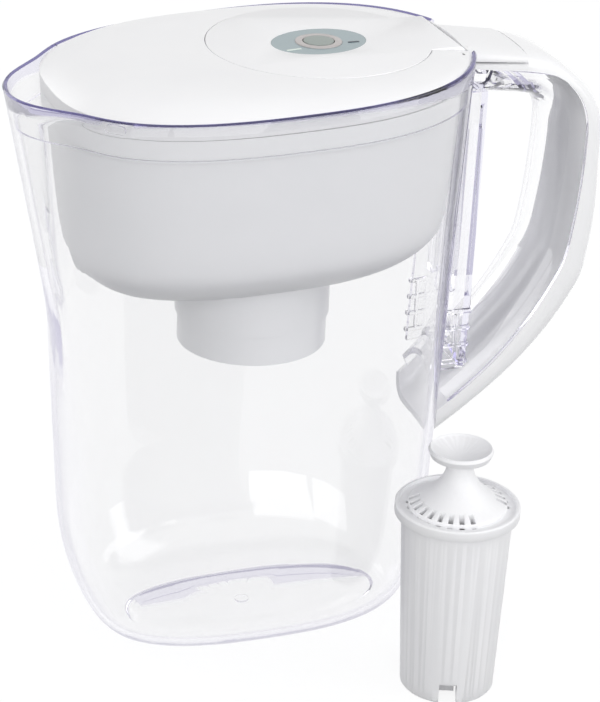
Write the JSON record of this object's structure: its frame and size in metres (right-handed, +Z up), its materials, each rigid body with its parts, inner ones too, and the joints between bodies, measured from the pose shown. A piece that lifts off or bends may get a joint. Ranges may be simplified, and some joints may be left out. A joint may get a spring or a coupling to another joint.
{
  "type": "water filter pitcher",
  "caption": "Clear water filter pitcher with a lift-out reservoir, a lift-off lid with a hinged fill flap and a push button, a two-part handle and a loose filter cartridge.",
  "frame": {"origin": "centre of the pitcher's foot, on the surface that it stands on", "axes": "+X from the spout towards the handle, +Z up, -Y the side where the loose cartridge stands"},
  "size_m": [0.2475, 0.1729, 0.2504],
  "materials": {
    "pitcher_body": "clear moulded styrene-acrylonitrile",
    "handle_frame": "clear moulded styrene-acrylonitrile",
    "handle_cover": "satin white moulded ABS",
    "reservoir": "satin white moulded polypropylene",
    "lid": "fine satin white moulded ABS",
    "flip_lid": "fine satin white moulded ABS",
    "indicator_label": "printed film under a clear coat",
    "indicator_bezel": "satin",
    "indicator_button": "soft satin",
    "indicator_housing": "satin white",
    "indicator_board": "solder mask",
    "indicator_leds": "clear epoxy",
    "dome_switch": "stamped stainless spring steel",
    "battery_contacts": "stamped brass",
    "coin_cell": "nickelled steel",
    "indicator_back_cover": "satin white",
    "indicator_seal": "silicone",
    "filter_housing": "satin white moulded polypropylene",
    "filter_cap": "satin white moulded polypropylene",
    "filter_inlet_screen": "fine woven mesh",
    "filter_media": "grains of carbon and resin",
    "filter_outlet_screen": "fine woven mesh"
  },
  "bodies": {
    "pitcher": {"pitcher_body": "pitcher_body", "handle_frame": "handle_frame", "handle_cover": "handle_cover"},
    "reservoir": {"reservoir": "reservoir"},
    "lid": {"lid": "lid"},
    "flap": {"flip_lid": "flip_lid", "indicator_label": "indicator_label", "indicator_bezel": "indicator_bezel", "indicator_housing": "indicator_housing", "indicator_board": "indicator_board", "indicator_leds": "indicator_leds", "dome_switch": "dome_switch", "battery_contacts": "battery_contacts", "coin_cell": "coin_cell", "indicator_back_cover": "indicator_back_cover", "indicator_seal": "indicator_seal"},
    "button": {"indicator_button": "indicator_button"},
    "filter": {"filter_housing": "filter_housing", "filter_cap": "filter_cap", "filter_inlet_screen": "filter_inlet_screen", "filter_media": "filter_media", "filter_outlet_screen": "filter_outlet_screen"}
  },
  "joints": [
    {"name": "reservoir_lift", "type": "slide", "parent": "pitcher", "child": "reservoir", "axis": [0, 0, 1], "range_m": [0, 0.14]},
    {"name": "lid_lift", "type": "slide", "parent": "reservoir", "child": "lid", "axis": [0, 0, 1], "range_m": [0, 0.04]},
    {"name": "flap_hinge", "type": "hinge", "parent": "lid", "child": "flap", "pos_m": [0.077, 0, 0.2467], "axis": [0, 1, 0], "range_deg": [0, 95]},
    {"name": "button_press", "type": "slide", "parent": "flap", "child": "button", "axis": [0, 0, -1], "range_m": [0, 0.0007], "stiffness_N_per_m": 600, "springref_m": -0.0005},
    {"name": "filter_lift", "type": "slide", "parent": "pitcher", "child": "filter", "axis": [0, 0, 1], "range_m": [0, 0.15]}
  ]
}
